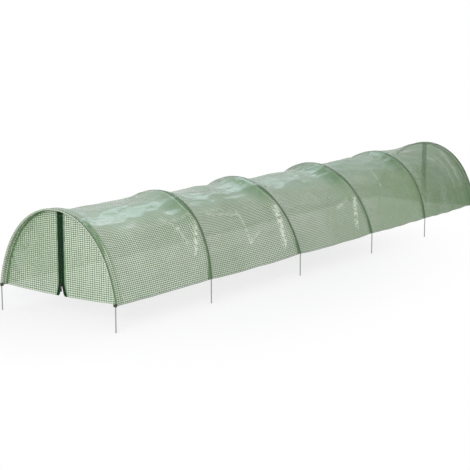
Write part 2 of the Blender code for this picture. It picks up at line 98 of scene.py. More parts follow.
# Film over and under the wire
FILM_TO_WIRE = 4.05 * MM
POCKET_FRONT = 26 * MM
POCKET_BACK = 12 * MM
BAY_LENGTH = HOOP_SPACING - POCKET_FRONT - POCKET_BACK
POCKET_FOLD = 8.5 * MM
POCKET_GAP = 0.9 * MM
POCKET_STEP = 5 * MM
POCKET_FOLD_STEP = 1.2 * MM
POCKET_GRID_SHIFT = (3.1 * MM, 2.7 * MM)
UNDER_WIRE_GAP = 0.7 * MM
END_HEM = 38 * MM
END_LIP = 4.55 * MM
RIDGE_DROP = 2.2 * MM
RIDGE_REACH = 9 * MM

# How the film hangs in each bay, front to rear, as shares of the arch's height
BAY_SAG_SHARES = (0.055, 0.08, 0.08, 0.06, 0.035)
SAG_FLATNESS = 5
HEM_DROOP_SHARES = (0.004, 0.014, 0.014, 0.008, 0.004)
HEM_WAVES = (2.5 * MM, 2.5 * MM, 2.5 * MM, 4 * MM, 9 * MM)
HEM_WAVES_ALONG = 9
HEM_WAVES_FROM = 0.6

# Wrinkles: how many for each metre along the tunnel and round the arch, and their share of the height
LONG_FACETS = (2.6, 11, 1.5)
SLANTING_FACETS = (5.5, 10, 0.9)
SOFT_WAVES = (5, 6, 0.4)
PUCKERS = (1.5, 34, 2.2)
DRAPES = (27, 3.5, 1)
FACET_LEVEL = 0.25
WRINKLE_AT_HEM = 0.2
SLANT_ALONG, SLANT_AROUND = 0.42, 0.9
PUCKER_REACH = 70 * MM
PUCKER_START = 9 * MM
DRAPE_DEPTH = 5
DRAPE_REACH = 150 * MM
DRAPE_START = 12
PLEAT_DEPTH = 0.8
PLEAT_BEFORE_HOOP = (34 * MM, 15 * MM)
PLEAT_HEIGHT = (215 * MM, 75 * MM)

# Door
DOOR_EDGE_DEPTH = 2.1 * MM
DOOR_HEM_BOW = 8 * MM
DOOR_BOW_HEIGHT = 90 * MM
DOOR_STEP = 6 * MM
DOOR_COLUMNS = 52
DOOR_WAVE = 3.2 * MM
DOOR_WAVES = ((7, 4, 1), (16, 9, 0.5))
FLAT_BY_TAPE = 40 * MM
FLAT_BY_SEAM = 50 * MM
DOOR_NARROWEST = 1 * MM
HALVINGS = 30
FILM_TO_ZIP_CENTRE = 8 * MM
V_HEIGHT = 43 * MM
V_HALF_WIDTH = 10 * MM
V_CURVE_POWER = 1.15
ZIP_HEM = 4 * MM
BINDING_WIDTH = 7.5 * MM
BINDING_OUT = 0.9 * MM
BINDING_GAUGE = 0.5 * MM

# Stitches: how far each seam runs from the edge or fold that it holds
END_SEAM_INSET = 4 * MM
FRONT_SEAM_INSET = 3 * MM
FOLD_SEAM_GAP = 2 * MM
BACK_SEAM_INSET = 1.7 * MM
TAPE_STITCH_INSET = 2.5 * MM
TAPE_STITCH_MARGIN = 2 * MM

# Weave of the zip tape and of the sleeves: width of a rib and of a pick
TAPE_RIB = 0.6 * MM
TAPE_PICK = 0.45 * MM

# Fabric sleeves at the end feet
TAB_HEIGHT = 11 * MM
TAB_RISE_SHARE = 0.3
TAB_INWARD = 1.5 * MM
TAB_HALF_SIZE = (6.6 * MM, 7.5 * MM)
TAB_SIDES = 20
TAB_ROUNDING = 1.2 * MM

# Where a middle pocket shows as doubled film in front of its wire: widths, and heights from the hem
FOOT_BAND = 25 * MM
FOOT_BAND_TOP = 0.13
SHOULDER_BAND = 25 * MM
SHOULDER = 0.36
SHOULDER_REACH = 0.12
# Painted shade before each middle wire at the shoulder: its strength, and the share of the bay where it starts
SHADE = 0.8
SHADE_START = 0.82

# The same beside the first wire, with more of it on the right
END_SHOULDER_BAND = 34 * MM
END_SHOULDER_START = 3 * MM
END_SHOULDER = 0.3
END_SHOULDER_REACH = 0.13
END_SHOULDER_LEFT = 0.25
END_SHOULDER_PATCHES = (90, 60, 0.5)
POCKET_STRIP_TINT = 0.6

# Painted highlight on the folds: the rise that gives a single fold its full highlight, how strongly the drapes
# take it and the most they take
TIGHT_FOLD = 4 * MM
DRAPE_HIGHLIGHT = 4
MOST_DRAPE_HIGHLIGHT = 0.7

# Single folds: x and running length from the crown at both ends, half width and height
FOLDS = (
    (-1.100, -0.193, -1.040, -0.260, 9 * MM, 3.0 * MM),
    (-1.040, -0.260, -1.020, -0.328, 9 * MM, 3.0 * MM),
    (-1.040, -0.216, -0.950, -0.205, 8 * MM, 2.5 * MM),
    (-0.940, -0.250, -1.000, -0.376, 11 * MM, 4.0 * MM),
    (-0.810, -0.216, -0.600, -0.248, 8 * MM, 3.0 * MM),
    (-0.900, -0.200, -0.680, -0.204, 8 * MM, 2.5 * MM),
    (-0.590, -0.236, -0.600, -0.384, 9 * MM, 3.5 * MM),
    (-0.600, -0.384, -0.510, -0.348, 9 * MM, 3.0 * MM),
    (-0.300, -0.260, -0.365, -0.435, 15 * MM, 6.5 * MM),
    (0.030, -0.220, 0.060, -0.255, 8 * MM, 3.0 * MM),
    (0.170, -0.328, 0.280, -0.300, 10 * MM, 3.5 * MM),
    (0.335, -0.300, 0.250, -0.435, 13 * MM, 6.0 * MM),
    (0.650, -0.157, 0.620, -0.268, 8 * MM, 3.5 * MM),
)

# The film's look: smooth steps, from where to where along an axis and what they say at both, and shares
GRID_FADE = (-0.6, 0.9, 1.0, 0.55)
# Painted shade: the clear film grows deeper and darker towards the rear
REAR_SHADE = (-0.8, 1.5, 0.0, 0.85)
LAST_BAY = (0.82, 1.2)
LAST_BAY_HEIGHT = (0.12, 0.3)
DULLER_TO_REAR = (-1.2, 1.2, 0.9, 1.6)
# Painted sheen on the top: near the crown the film takes a darker bluish green and its grid fades, with a ragged
# edge
CROWN_EDGE = (0.2, 0.31)
CROWN_RAGGED = 0.16
CROWN_SHEEN_GRID = 0.35
CROWN_SHEEN_TINT = 0.65
# Painted shade: how far the last bay and the rear door darken towards the last bay colour
LAST_BAY_SHADE = 0.8
REAR_DOOR_SHADE = 0.4
# Painted highlight: how far the folds and drapes turn pale
HIGHLIGHT_TINT = 0.75
GRID_RELIEF = 0.006

# Lines in the cover's look: how wide and where they are, and how strong
UNEVENNESS = 5 * MM
# The wire lines: the wire seen through the tight film, darkened by painted shadow of the wire
WIRE_LINE_AHEAD = 3 * MM
WIRE_LINE = (7 * MM, 10.5 * MM)
WIRE_LINE_AND_SHADOW_TINT = 0.95
WIRE_LINE_OPACITY = 0.7
SEAM_FROM_HEM_END = 4.5 * MM
SEAM_LINE = (6 * MM, 11 * MM)
SEAM_AT_SHOULDER = ((0.09, 0.16), (0.33, 0.42), 0.25)
SEAM_ELSEWHERE = 0.1
REAR_SEAM = (0.0, 0.1)
REAR_SEAM_INWARD = 12 * MM
REAR_SEAM_WIDER = 3 * MM
CUT_EDGE = (4 * MM, 2 * MM)
CUT_EDGE_TINT = 0.8

# Fine creases in the film: stretch, turn, scale and share of each layer of facets
CREASE_LAYERS = (
    ((0.3, 1, 1), 0.1, 9, 1.0),
    ((0.6, 1, 1), -0.5, 17, 0.7),
    ((0.3, 1, 1), 0.25, 27, 0.45),
)

# Lamps: name, setting of its power, place, size, colour, and whether glossy surfaces mirror it
LAMP_AIM = Vector((-0.9, 0, 0.2))
LAMPS = (
    ("front_lamp", "front_power", (-4.1, -1.5, 1.6), (1.2, 1.2), (1, 1, 1), True),
    ("overhead_lamp", "overhead_power", (-1.0, -0.2, 2.6), (3.2, 2.4), (1, 1, 1), True),
    ("low_lamp", "sky_power", (2.6, 1.35, 3.5), (1.3, 3.0), (0.74, 0.9, 1), True),
    ("side_lamp", "side_power", (1.5, -3.3, 1.1), (1.6, 0.9), (1, 1, 1), False),
)
FILM_FACES_SEEN_THROUGH = 32
FLOOR_RADIUS = 30
FLOOR_SQUEEZE = (0.45, 1, 1)
FLOOR_SHIFT = (0.45, 0, 0)
FLOOR_FADE = (0.5, 1.1, 0.72, 1.0)

FILM_MAP = "film"
SEWN_AND_SHADE_MARK = "sewn"
HIGHLIGHT_MARK = "stretched"
ENDS = (("front", -1), ("rear", 1))
SIDES = (("left", 1), ("right", -1))
CORNERS = [(f"{end_name}_{side_name}", end, side) for end_name, end in ENDS for side_name, side in SIDES]


def lean_of(hoop):
    """How far a hoop's crown stands from its feet along the tunnel, for each metre of height."""
    low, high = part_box(f"hoop_{hoop + 1}")
    ahead, behind = high.x - FEET_X[hoop] - WIRE_RADIUS, low.x - FEET_X[hoop] + WIRE_RADIUS
    return (ahead if ahead > -behind else behind) / ARCH_HEIGHT


LEANS = [lean_of(hoop) for hoop in range(HOOP_COUNT)]


# Settings

def length_prop(name, description, default, least, most):
    return FloatProperty(
        name=name, description=description, default=default * MM, min=least * MM, max=most * MM,
        unit="LENGTH", precision=5)


def colour_prop(name, description, *default):
    return FloatVectorProperty(
        name=name, description=description, default=default, min=0, max=1, subtype="COLOR")


def share_prop(name, description, default):
    return FloatProperty(
        name=name, description=description, default=default, min=0, max=1, subtype="FACTOR")


def power_prop(name, description, default):
    return FloatProperty(
        name=name, description=description, default=default, min=0, max=500, unit="POWER")


class FilmSettings(bpy.types.PropertyGroup):
    gauge: length_prop("Film thickness", "Thickness of the film with its threads", 0.3, 0.1, 1)
    cell: length_prop(
        "Grid cell length", "Distance between the threads that run round the arch", 11.4, 3, 20)
    row: length_prop(
        "Grid cell height", "Distance between the threads that run along the tunnel", 7.7, 3, 20)
    thread: length_prop("Thread width", "Width of a reinforcing thread in the film", 2.7, 0.5, 4)
    film_colour: colour_prop(
        "Film colour", "Colour of the clear film between the threads", 0.66, 0.75, 0.61)
    # Random drift, and painted shade that deepens towards the rear
    deep_colour: colour_prop(
        "Deeper film colour", "Colour that the clear film drifts to, more so at the rear", 0.25, 0.4, 0.19)
    # Painted sheen: the tint that the top takes
    crown_sheen_colour: colour_prop(
        "Crown colour", "Colour that the clear film drifts to near the crown", 0.25, 0.4, 0.29)
    # Painted shade of the last bay and the rear door
    last_bay_shade_colour: colour_prop(
        "Last bay colour", "Colour that the clear film drifts to in the last bay", 0.125, 0.27, 0.09)
    thread_colour: colour_prop("Thread colour", "Colour of the reinforcing threads", 0.09, 0.155, 0.075)
    # Also the colour of the painted shade before the middle wires
    doubled_and_shade_colour: colour_prop(
        "Pocket colour", "Colour of the film where it is sewn double", 0.09, 0.21, 0.07)
    edge_colour: colour_prop("Cut edge colour", "Colour of the cut edge along the hem", 0.3, 0.29, 0.28)
    # Painted highlight: the pale colour laid on the folds and drapes
    fold_highlight_colour: colour_prop(
        "Stretched film colour", "Colour of the film where a tight fold whitens it", 0.8, 0.86, 0.76)
    seam_colour: colour_prop(
        "End seam colour", "Colour of the bound seams that hold the doors", 0.1, 0.2, 0.075)
    # Painted shadow of the wire, over the wire seen through the film
    wire_line_and_shadow_colour: colour_prop(
        "Wire line colour", "Colour of the film where it lies tight on a wire", 0.09, 0.15, 0.075)
    cell_opacity: share_prop("Film opacity", "How much of what lies behind the clear film it hides", 0.92)
    rear_opacity: share_prop(
        "Film opacity at the rear", "The same for the last bay's upper film and the rear door", 0.61)
    thread_opacity: share_prop("Thread opacity", "How much of what lies behind a thread it hides", 0.95)
    # Also the strength of the painted shade before the middle wires
    doubled_and_shade_share: share_prop(
        "Pocket tint", "How far the film takes the pocket colour where it is sewn double", 0.9)
    glow: share_prop(
        "Light let through", "Share of the light that spreads through the film, not seen through it", 0.5)
    roughness: share_prop("Film roughness", "How dull the film's surface is", 0.17)
    wrinkle: length_prop("Wrinkle height", "Height of the long soft wrinkles in the cover", 9, 0, 20)
    pucker: length_prop("Pucker height", "Height of the short folds beside the sewn pockets", 3, 0, 6)
    crease: length_prop(
        "Crease height", "Height of the fine creases and of the threads in the film", 7, 0, 12)
    step: length_prop("Cover step", "Distance between the cover's points", 8.3, 4, 40)


class WireSettings(bpy.types.PropertyGroup):
    sides: IntProperty(
        name="Wire sides", description="Sides of the round wire", default=14, min=6, max=32)
    steps: IntProperty(
        name="Arch steps", description="Steps of the wire round the arch", default=96, min=24, max=240)
    colour: colour_prop("Wire colour", "Colour of the galvanised wire", 0.3, 0.31, 0.31)


class SewingSettings(bpy.types.PropertyGroup):
    stitch: length_prop("Stitch length", "Length of one stitch", 3.4, 1, 8)
    gap: length_prop("Stitch gap", "Gap between two stitches", 1.4, 0.3, 5)
    thread: length_prop("Sewing thread", "Diameter of the sewing thread", 0.5, 0.2, 1.5)
    thread_colour: colour_prop("Sewing thread colour", "Colour of the sewing thread", 0.05, 0.1, 0.05)
    tab_colour: colour_prop(
        "Tab colour", "Colour of the fabric sleeves at the end feet", 0.032, 0.04, 0.026)


class ZipSettings(bpy.types.PropertyGroup):
    tape_colour: colour_prop("Tape colour", "Colour of the woven zip tape", 0.004, 0.018, 0.006)
    teeth_colour: colour_prop("Teeth colour", "Colour of the moulded teeth", 0.006, 0.014, 0.009)
    metal_colour: colour_prop("Slider colour", "Colour of the enamelled slider and pull", 0.02, 0.022, 0.02)


class StageSettings(bpy.types.PropertyGroup):
    camera_place: FloatVectorProperty(
        name="Camera", description="Where the camera stands",
        default=(-4.708, -3.197, 1.150), subtype="TRANSLATION", unit="LENGTH")
    camera_turn: FloatVectorProperty(
        name="Camera turn", description="Tilt, roll and heading of the camera",
        default=(math.radians(79.664), 0, math.radians(-53.71)), subtype="EULER", unit="ROTATION")
    lens: FloatProperty(
        name="Lens", description="Focal length on a 36 mm wide sensor",
        default=92.64, min=10, max=300, subtype="DISTANCE_CAMERA")
    floor_colour: colour_prop("Floor colour", "Colour of the floor", 0.9, 0.9, 0.9)
    front_power: power_prop("Front lamp", "Power of the soft lamp beside the front door", 82)
    overhead_power: power_prop("Overhead lamp", "Power of the soft lamp over the tunnel", 16)
    sky_power: power_prop("Low lamp", "Power of the low softbox behind, which the ridge mirrors", 27)
    side_power: power_prop("Side lamp", "Power of the soft lamp beside the last bays", 15)
    fill: FloatProperty(
        name="Room light", description="Strength of the even light of the room",
        default=0.4, min=0, max=2)


SETTINGS = {
    "tunnel_film": FilmSettings,
    "tunnel_wire": WireSettings,
    "tunnel_sewing": SewingSettings,
    "tunnel_zip": ZipSettings,
    "tunnel_stage": StageSettings,
}


# The arch

def half_arch(t):
    """Point and outward normal of the half arch: t is 0 at the foot, 1 at the crown."""
    foot, crown = Vector((HALF_WIDTH, 0)), Vector((0, ARCH_HEIGHT))
    rise = Vector((-math.sin(FOOT_FLARE), math.cos(FOOT_FLARE)))
    foot_handle = foot + rise * ARCH_HEIGHT * FOOT_HANDLE_SHARE
    crown_handle = crown + Vector((HALF_WIDTH * CROWN_HANDLE_SHARE, 0))
    u = 1 - t
    point = u**3 * foot + 3 * u * u * t * foot_handle + 3 * u * t * t * crown_handle + t**3 * crown
    along = u * u * (foot_handle - foot) + t * t * (crown - crown_handle)
    along += 2 * u * t * (crown_handle - foot_handle)
    along.normalize()
    return point, Vector((along.y, -along.x))


def film_lengths():
    """Running length of the film round the half arch, foot to crown."""
    spots = [half_arch(i / ARC_SAMPLES) for i in range(ARC_SAMPLES + 1)]
    spots = [point + normal * FILM_TO_WIRE for point, normal in spots]
    lengths = [0.0]
    for last, spot in zip(spots, spots[1:]):
        lengths.append(lengths[-1] + (spot - last).length)
    return lengths


ARC_LENGTHS = film_lengths()
HALF_ARC = ARC_LENGTHS[-1]


@functools.lru_cache(maxsize=None)
def arch_spot(share):
    """Point on the wire's line and outward normal at a share of the film's length from the crown."""
    wanted = (1 - share) * HALF_ARC
    step = min(max(bisect.bisect_right(ARC_LENGTHS, wanted) - 1, 0), ARC_SAMPLES - 1)
    part = (wanted - ARC_LENGTHS[step]) / (ARC_LENGTHS[step + 1] - ARC_LENGTHS[step])
    return half_arch((step + part) / ARC_SAMPLES)


def arch_place(share, depth=0.0):
    """(y, z over the hem) at a share of the film's length, -1 at the right hem to 1 at the left."""
    point, normal = arch_spot(abs(share))
    point = point + normal * (FILM_TO_WIRE - depth)
    return Vector((math.copysign(point.x, share), point.y))


def hoop_x(hoop, z):
    return FEET_X[hoop] + max(z, 0) * LEANS[hoop]


def pocket_reach(hoop):
    """How far a hoop's sewn pocket reaches to the front and to the rear of its wire."""
    if hoop == 0:
        return END_LIP, END_HEM
    if hoop == HOOP_COUNT - 1:
        return END_HEM, END_LIP
    return POCKET_FRONT, POCKET_BACK


def bell(value, middle, width):
    return math.exp(-(((value - middle) / width) ** 2))


def ridge(offset):
    """How far the cover has dropped beside a wire, from its ridge over the wire."""
    return RIDGE_DROP * (1 - bell(offset, 0, RIDGE_REACH))


def spread_steps(low, high, step):
    """Even steps from low to high, none longer than step."""
    count = max(1, math.ceil((high - low) / step))
    return [low + (high - low) * i / count for i in range(count + 1)]


# Folds in the film

def facet(kind, along, around, seed):
    """How far a place lies from the middle of its facet: smooth inside, sharp between two."""
    near = noise.voronoi(Vector((along * kind[0], around * kind[1], seed)))[0][0]
    return kind[2] * (near * near - FACET_LEVEL)


def wave(kind, along, around, seed):
    return kind[2] * noise.noise(Vector((along * kind[0], around * kind[1], seed)))


def crown_share(arc):
    """1 at the crown, 0 at a hem."""
    return math.cos(arc / HALF_ARC * math.pi / 2)


def wrinkle_depth(film, bay, share, x, arc):
    """How far the film dips at a place: facets along the bay, slanting ones, puckers and drapes."""
    slant = x * SLANT_ALONG + arc * math.copysign(SLANT_AROUND, arc)
    cross = x * SLANT_AROUND - arc * math.copysign(SLANT_ALONG, arc)
    facets = facet(LONG_FACETS, x, arc, bay * 3.7) + facet(SLANTING_FACETS, cross, slant, bay * 5.3 + 11)
    side = WRINKLE_AT_HEM + (1 - WRINKLE_AT_HEM) * crown_share(arc)
    middle = math.sin(math.pi * share) ** 0.5
    wrinkles = film.wrinkle * side * middle * (facets + wave(SOFT_WAVES, x, arc, 31))
    before_hoop, after_hoop = BAY_LENGTH * (1 - share), BAY_LENGTH * share
    away = min(before_hoop, after_hoop)
    near = math.exp(-away / PUCKER_REACH) * (1 - math.exp(-away / PUCKER_START))
    puckers = near * wave(PUCKERS, x, arc, bay * 7.7 + 5) + DRAPE_DEPTH * drape(bay, share, x, arc)
    pleat = bell(before_hoop, *PLEAT_BEFORE_HOOP) * bell(HALF_ARC - abs(arc), *PLEAT_HEIGHT)
    return film.pucker * (puckers + PLEAT_DEPTH * pleat) - wrinkles


def drape(bay, share, x, arc):
    """How far the film dips, from -0.5 to 0.5, between the upright drapes before the last hoop."""
    if bay != HOOP_COUNT - 2:
        return 0
    close = math.exp(-BAY_LENGTH * (1 - share) / DRAPE_REACH) * min(1, (1 - share) * DRAPE_START)
    return wave(DRAPES, x, arc, 17) * close * (1 - crown_share(arc)) ** 0.5


def fold_rise(x, arc):
    """How far the single folds lift the film at a place."""
    rise = 0
    for x1, arc1, x2, arc2, width, height in FOLDS:
        if not min(x1, x2) - 3 * width < x < max(x1, x2) + 3 * width:
            continue
        run = Vector((x2 - x1, arc2 - arc1))
        part = min(1, max(0, Vector((x - x1, arc - arc1)).dot(run) / run.length_squared))
        away = Vector((x - x1, arc - arc1)) - run * part
        rise += height * math.exp(-away.length_squared / width**2)
    return rise


def cover_columns(step):
    """(hoop, offset from its wire, None) in a pocket, or (hoop, 0, share of the bay after it)."""
    columns = []
    for hoop in range(HOOP_COUNT):
        front, back = pocket_reach(hoop)
        fine = spread_steps(-front, 0, step / 2) + spread_steps(0, back, step / 2)[1:]
        columns += [(hoop, offset, None) for offset in fine]
        if hoop < HOOP_COUNT - 1:
            columns += [(hoop, 0, share) for share in spread_steps(0, 1, step / BAY_LENGTH)[1:-1]]
    return columns


def nominal_x(column):
    """Where a column lies along the flat film."""
    hoop, offset, share = column
    if share is None:
        return FEET_X[0] + hoop * HOOP_SPACING + offset
    start = nominal_x((hoop, pocket_reach(hoop)[1], None))
    end = nominal_x((hoop + 1, -pocket_reach(hoop + 1)[0], None))
    return start + (end - start) * share


def foot_x(column):
    """Where a column's hem lies along the tunnel."""
    hoop, offset, share = column
    if share is None:
        return FEET_X[hoop] + offset
    start, end = FEET_X[hoop] + pocket_reach(hoop)[1], FEET_X[hoop + 1] - pocket_reach(hoop + 1)[0]
    return start + (end - start) * share


def cover_place(film, column, share, depth=0.0):
    """A point of the cover, or of a layer at a depth under it."""
    hoop, offset, bay_share = column
    flat = arch_place(share)
    if bay_share is None:
        sunk = arch_place(share, depth + ridge(offset))
        return Vector((hoop_x(hoop, flat.y) + offset, sunk.x, HEM_Z + sunk.y))
    front, back = pocket_reach(hoop)[1], pocket_reach(hoop + 1)[0]
    start, end = hoop_x(hoop, flat.y) + front, hoop_x(hoop + 1, flat.y) - back
    hang = 1 - abs(2 * bay_share - 1) ** SAG_FLATNESS
    inward = math.cos(abs(share) * math.pi / 2)
    sag = ARCH_HEIGHT * BAY_SAG_SHARES[hoop] * hang * inward
    droop = ARCH_HEIGHT * HEM_DROOP_SHARES[hoop] * hang * (1 - inward)
    arc = share * HALF_ARC
    folds = wrinkle_depth(film, hoop, bay_share, nominal_x(column), arc) - fold_rise(foot_x(column), arc)
    level = ridge(front) * (1 - bay_share) + ridge(back) * bay_share
    sunk = arch_place(share, depth + level + sag + folds)
    pull = noise.noise(Vector((nominal_x(column) * HEM_WAVES_ALONG, share, 3))) * HEM_WAVES[hoop] * hang
    low = max(0, abs(share) - HEM_WAVES_FROM) / (1 - HEM_WAVES_FROM)
    return Vector((start + (end - start) * bay_share, sunk.x, HEM_Z + sunk.y - droop + pull * low))


def lay_sheet(name, columns, rows, place, spread, sewn=None, stretched=None):
    """A sheet of film: a grid whose points go where place says, with a map in metres along it."""
    shape = bmesh.new()
    across, along = len(columns) - 1, len(rows) - 1
    bmesh.ops.create_grid(shape, x_segments=across, y_segments=along, size=1)
    marks = shape.loops.layers.uv.new(FILM_MAP)
    doubled = shape.verts.layers.float.new(SEWN_AND_SHADE_MARK)
    highlit = shape.verts.layers.float.new(HIGHLIGHT_MARK)
    for vert in shape.verts:
        column = columns[round((vert.co.x + 1) / 2 * across)]
        row = rows[round((vert.co.y + 1) / 2 * along)]
        for loop in vert.link_loops:
            loop[marks].uv = spread(column, row)
        vert.co = place(column, row)
        # The sewn mark also carries painted shade; the other mark is painted highlight
        vert[doubled] = sewn(column, row) if sewn else 0
        vert[highlit] = stretched(column, row) if stretched else 0
    bmesh.ops.recalc_face_normals(shape, faces=shape.faces)
    return shown(name, shape)


def shown(name, shape):
    """The finished bmesh as an object of the scene, smoothly shaded."""
    mesh = bpy.data.meshes.new(name)
    shape.to_mesh(mesh)
    shape.free()
    mesh.shade_smooth()
    thing = bpy.data.objects.new(name, mesh)
    bpy.context.scene.collection.objects.link(thing)
    return thing


def give_gauge(thing, gauge):
    wall = thing.modifiers.new("film", "SOLIDIFY")
    wall.thickness = gauge
    wall.offset = 0


def dress(thing, look):
    thing.data.materials.clear()
    thing.data.materials.append(look)


# Materials

def new_look(name):
    """A new material, its node tree and its shader."""
    made = bpy.data.materials.new(name)
    made.use_nodes = True
    return made, made.node_tree, made.node_tree.nodes["Principled BSDF"]


def feed(tree, socket, value):
    """Sets a socket to a number or colour, or links it to another socket."""
    if isinstance(value, bpy.types.NodeSocket):
        tree.links.new(value, socket)
    else:
        socket.default_value = value


def maths(tree, operation, first, second=0.0):
    node = tree.nodes.new("ShaderNodeMath")
    node.operation = operation
    feed(tree, node.inputs[0], first)
    feed(tree, node.inputs[1], second)
    return node.outputs[0]


def times(tree, first, second):
    return maths(tree, "MULTIPLY", first, second)


def plus(tree, first, second):
    return maths(tree, "ADD", first, second)


def minus(tree, first, second):
    return maths(tree, "SUBTRACT", first, second)


def larger(tree, first, second):
    return maths(tree, "MAXIMUM", first, second)


def size_of(tree, value):
    return maths(tree, "ABSOLUTE", value)


def ramp(tree, value, low, high, to_low=0.0, to_high=1.0):
    """A smooth step of a value from low to high, read out between two other numbers."""
    node = tree.nodes.new("ShaderNodeMapRange")
    node.interpolation_type = "SMOOTHSTEP"
    names = ("Value", "From Min", "From Max", "To Min", "To Max")
    for name, setting in zip(names, (value, low, high, to_low, to_high)):
        feed(tree, node.inputs[name], setting)
    return node.outputs["Result"]


def blend_colours(tree, share, first, second):
    node = tree.nodes.new("ShaderNodeMix")
    node.data_type = "RGBA"
    feed(tree, node.inputs["Factor"], share)
    for name, colour in (("A", first), ("B", second)):
        feed(tree, node.inputs[name], colour if isinstance(colour, bpy.types.NodeSocket) else (*colour, 1))
    return node.outputs["Result"]


def scaled(colour, factor, lift=0.0):
    return tuple(min(1, value * factor + lift) for value in colour)


def blotches(tree, where, scale, detail=2.0):
    node = tree.nodes.new("ShaderNodeTexNoise")
    tree.links.new(where, node.inputs["Vector"])
    node.inputs["Scale"].default_value = scale
    node.inputs["Detail"].default_value = detail
    return node.outputs["Fac"]


def raise_surface(tree, shader, height, distance, strength=1.0):
    node = tree.nodes.new("ShaderNodeBump")
    node.inputs["Distance"].default_value = distance
    node.inputs["Strength"].default_value = strength
    tree.links.new(height, node.inputs["Height"])
    tree.links.new(node.outputs["Normal"], shader.inputs["Normal"])


def object_place(tree):
    return tree.nodes.new("ShaderNodeTexCoord").outputs["Object"]


def axes_of(tree, place):
    node = tree.nodes.new("ShaderNodeSeparateXYZ")
    tree.links.new(place, node.inputs[0])
    return node.outputs


def film_place(tree):
    node = tree.nodes.new("ShaderNodeUVMap")
    node.uv_map = FILM_MAP
    return node.outputs["UV"]


def thread_mask(tree, length, cell, thread):
    """1 on the threads that cross a direction at each cell, 0 between them."""
    away = maths(tree, "PINGPONG", length, cell / 2)
    return ramp(tree, away, thread * 0.25, thread * 0.75, 1.0, 0.0)


def one_face(opacity):
    """Opacity of one face of a closed sheet whose two faces hide this share together."""
    return 1 - math.sqrt(1 - opacity)


def spread_light(tree, film):
    """1 for what looks at the film, less for the lamps' light, which also spreads through it."""
    paths = tree.nodes.new("ShaderNodeLightPath")
    lit = larger(tree, paths.outputs["Is Shadow Ray"], paths.outputs["Is Diffuse Ray"])
    return ramp(tree, lit, 0.0, 1.0, 1.0, 1 - film.glow)


def seen_directly(tree):
    """1 for what sees or mirrors a surface or looks through glass at it, 0 for the light it gives."""
    paths = tree.nodes.new("ShaderNodeLightPath")
    seen = larger(tree, paths.outputs["Is Camera Ray"], paths.outputs["Is Glossy Ray"])
    return larger(tree, seen, paths.outputs["Is Transmission Ray"])


def mark_place(tree, name):
    node = tree.nodes.new("ShaderNodeAttribute")
    node.attribute_name = name
    return node.outputs["Fac"]


def film_look(name, cover=False, doubled=0.0):
    """Reinforced film: a square grid of threads in clear film, soft colour drift and gloss, with painted shade
    towards the rear, in the last bay and before the middle wires, painted sheen near the crown, painted highlights
    on the folds and painted shadow along the wires.
    """
    film = bpy.context.scene.tunnel_film
    made, tree, shader = new_look(name)
    length, width, _ = axes_of(tree, film_place(tree))
    place = object_place(tree)
    x, _, z = axes_of(tree, place)
    round_arch = thread_mask(tree, length, film.cell, film.thread)
    along_tunnel = thread_mask(tree, width, film.row, film.thread)
    grid = times(tree, larger(tree, round_arch, along_tunnel), ramp(tree, x, *GRID_FADE))
    drift = ramp(tree, blotches(tree, place, 2.6, 4), 0.35, 0.65, 0.0, 0.3)
    # Painted shade: deeper towards the rear
    drift = plus(tree, drift, ramp(tree, x, *REAR_SHADE))
    clear = blend_colours(tree, drift, film.film_colour, film.deep_colour)
    if cover:
        # Painted sheen on the top: a tint and a fainter grid near the crown
        ragged = times(tree, blotches(tree, place, 7, 2), CROWN_RAGGED)
        low = ramp(tree, plus(tree, size_of(tree, width), ragged), *CROWN_EDGE)
        grid = times(tree, grid, plus(tree, times(tree, low, 1 - CROWN_SHEEN_GRID), CROWN_SHEEN_GRID))
        crown = blend_colours(tree, CROWN_SHEEN_TINT, clear, film.crown_sheen_colour)
        clear = blend_colours(tree, low, crown, clear)
    last_bay = ramp(tree, x, *LAST_BAY)
    # Painted shade: the last bay and the rear door darken
    tint = times(tree, last_bay, LAST_BAY_SHADE if cover else REAR_DOOR_SHADE)
    clear = blend_colours(tree, tint, clear, film.last_bay_shade_colour)
    colour = blend_colours(tree, grid, clear, film.thread_colour)
    if cover:
        last_bay = times(tree, last_bay, ramp(tree, z, *LAST_BAY_HEIGHT))
    hides = ramp(tree, last_bay, 0.0, 1.0, one_face(film.cell_opacity), one_face(film.rear_opacity))
    opacity = ramp(tree, grid, 0.0, 1.0, hides, one_face(film.thread_opacity))
    # Pocket colour where the film is doubled, and painted shade before the middle wires
    sewn = times(tree, larger(tree, mark_place(tree, SEWN_AND_SHADE_MARK), doubled), film.doubled_and_shade_share)
    colour = blend_colours(tree, sewn, colour, film.doubled_and_shade_colour)
    if cover:
        # Painted highlight: the folds and drapes turn pale
        pale = times(tree, mark_place(tree, HIGHLIGHT_MARK), ramp(tree, blotches(tree, place, 90), 0.4, 0.55))
        colour = blend_colours(tree, times(tree, pale, HIGHLIGHT_TINT), colour, film.fold_highlight_colour)
        colour, opacity = cover_bands(tree, film, length, width, place, colour, opacity)
    tree.links.new(colour, shader.inputs["Base Color"])
    tree.links.new(times(tree, opacity, spread_light(tree, film)), shader.inputs["Alpha"])
    haze = ramp(tree, blotches(tree, place, 9, 3), 0.3, 0.7, film.roughness * 0.75, film.roughness * 1.4)
    tree.links.new(times(tree, haze, ramp(tree, x, *DULLER_TO_REAR)), shader.inputs["Roughness"])
    height = plus(tree, times(tree, grid, GRID_RELIEF), crease_height(tree, place))
    raise_surface(tree, shader, height, film.crease)
    return made


